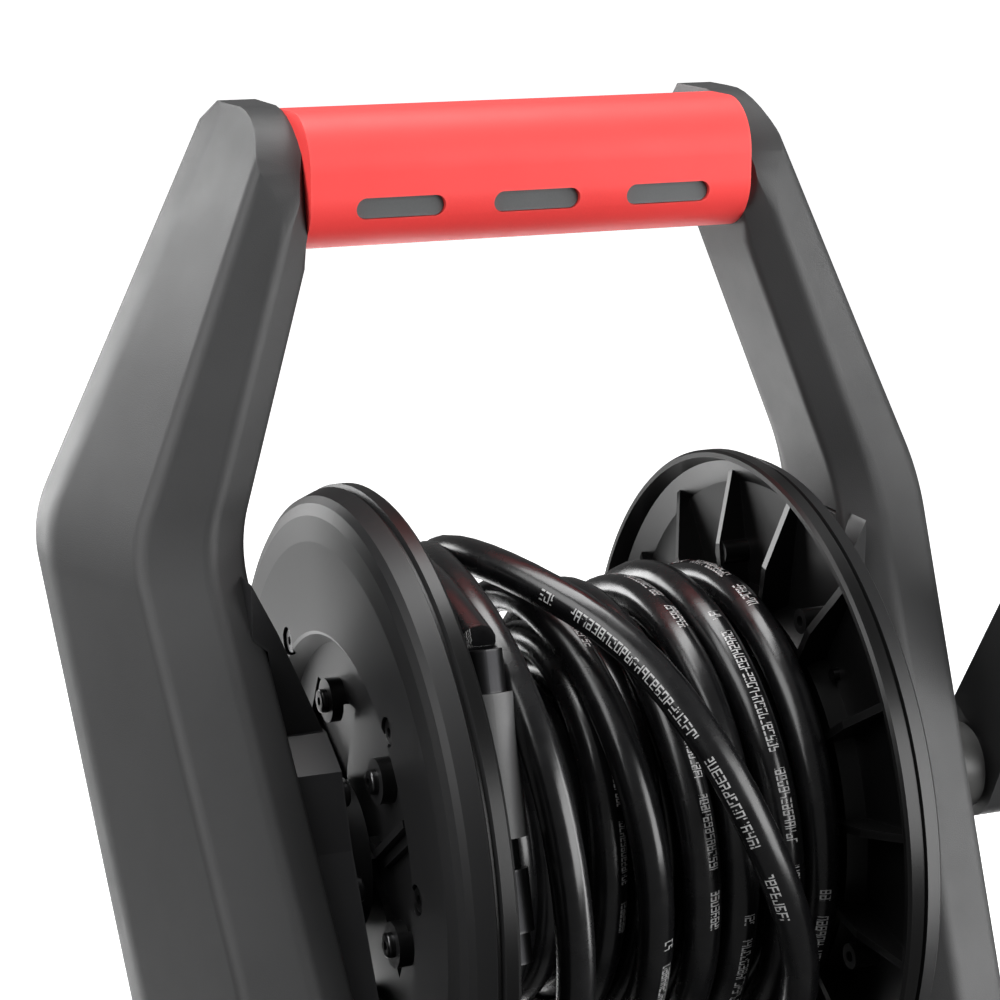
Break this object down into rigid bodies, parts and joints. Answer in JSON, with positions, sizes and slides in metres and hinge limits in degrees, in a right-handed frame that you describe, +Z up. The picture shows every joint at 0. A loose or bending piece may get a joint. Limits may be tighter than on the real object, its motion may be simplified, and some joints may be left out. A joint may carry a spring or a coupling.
{
  "type": "hose reel cart",
  "caption": "Upright two-wheeled cart with a bent arched side frame, a padded cross grip and a hand-cranked drum that winds and feeds a hose.",
  "frame": {"origin": "floor level, under the middle of the cart seen from above (crank grip included)", "axes": "+X along the drum axis towards the crank, +Y towards the person who pulls the cart, +Z up"},
  "size_m": [0.4312, 0.439, 0.607],
  "materials": {
    "frame_plastic": "fine moulded texture, matte",
    "carrier_plastic": "satin",
    "grip_red": "soft matte",
    "insert_grey": "matte",
    "drum_plastic": "satin to glossy",
    "bush_plastic": "smooth",
    "screw_steel": "plain zinc plated",
    "axle_steel": "drawn bar",
    "core_tube": "mill finish",
    "brass_fitting": "machined",
    "seal_rubber": "smooth",
    "pad_rubber": "matte",
    "hose_rubber": "glossy wet look",
    "hose_sleeve": "matte",
    "hose_metal": "dark plated",
    "wheel_plastic": "satin",
    "tyre_rubber": "matte",
    "crank_plastic": "matte"
  },
  "bodies": {
    "cart": {"frame_shell_left": "frame_plastic", "frame_shell_right": "frame_plastic", "frame_cover_left": "frame_plastic", "frame_cover_right": "frame_plastic", "frame_cover_screws": "screw_steel", "handle_core": "core_tube", "grip_shell_front": "grip_red", "grip_shell_rear": "grip_red", "grip_inserts": "insert_grey", "grip_screws": "screw_steel", "hub_carrier_left": "carrier_plastic", "hub_carrier_right": "carrier_plastic", "hub_carrier_screws": "screw_steel", "bearing_bush_left": "bush_plastic", "bearing_bush_right": "bush_plastic", "crank_side_bush": "bush_plastic", "inlet_elbow": "brass_fitting", "inlet_nipple": "brass_fitting", "cross_beam": "carrier_plastic", "rear_strut_left": "frame_plastic", "rear_strut_right": "frame_plastic", "strut_bolts": "screw_steel", "foot_skid_left": "frame_plastic", "foot_skid_right": "frame_plastic", "foot_bar": "carrier_plastic", "foot_pads": "pad_rubber", "wheel_axle": "axle_steel", "axle_clips": "axle_steel"},
    "drum": {"flange_left": "drum_plastic", "flange_right": "drum_plastic", "flange_screws": "screw_steel", "drum_core": "drum_plastic", "axle_stub": "axle_steel", "inlet_seal_rings": "seal_rubber", "drive_shaft": "axle_steel", "outlet_elbow": "brass_fitting", "crank_arm": "crank_plastic", "crank_screw": "screw_steel", "crank_pin": "axle_steel", "hose_winding": "hose_rubber", "hose_crimp": "hose_metal", "hose_sleeve": "hose_sleeve", "hose_connector": "hose_metal"},
    "crank_knob": {"crank_grip": "crank_plastic", "crank_grip_cap": "insert_grey"},
    "wheel_left": {"wheel_left": "wheel_plastic", "tyre_left": "tyre_rubber", "wheel_cap_left": "wheel_plastic"},
    "wheel_right": {"wheel_right": "wheel_plastic", "tyre_right": "tyre_rubber", "wheel_cap_right": "wheel_plastic"}
  },
  "joints": [
    {"name": "drum_spin", "type": "hinge", "parent": "cart", "child": "drum", "pos_m": [-0.0486, 0.0445, 0.38], "axis": [1, 0, 0], "continuous": true},
    {"name": "crank_grip_spin", "type": "hinge", "parent": "drum", "child": "crank_knob", "pos_m": [0.1704, -0.02126, 0.51482], "axis": [1, 0, 0], "continuous": true},
    {"name": "wheel_left_spin", "type": "hinge", "parent": "cart", "child": "wheel_left", "pos_m": [-0.1876, 0.1395, 0.08], "axis": [1, 0, 0], "continuous": true},
    {"name": "wheel_right_spin", "type": "hinge", "parent": "cart", "child": "wheel_right", "pos_m": [0.0904, 0.1395, 0.08], "axis": [1, 0, 0], "continuous": true}
  ]
}
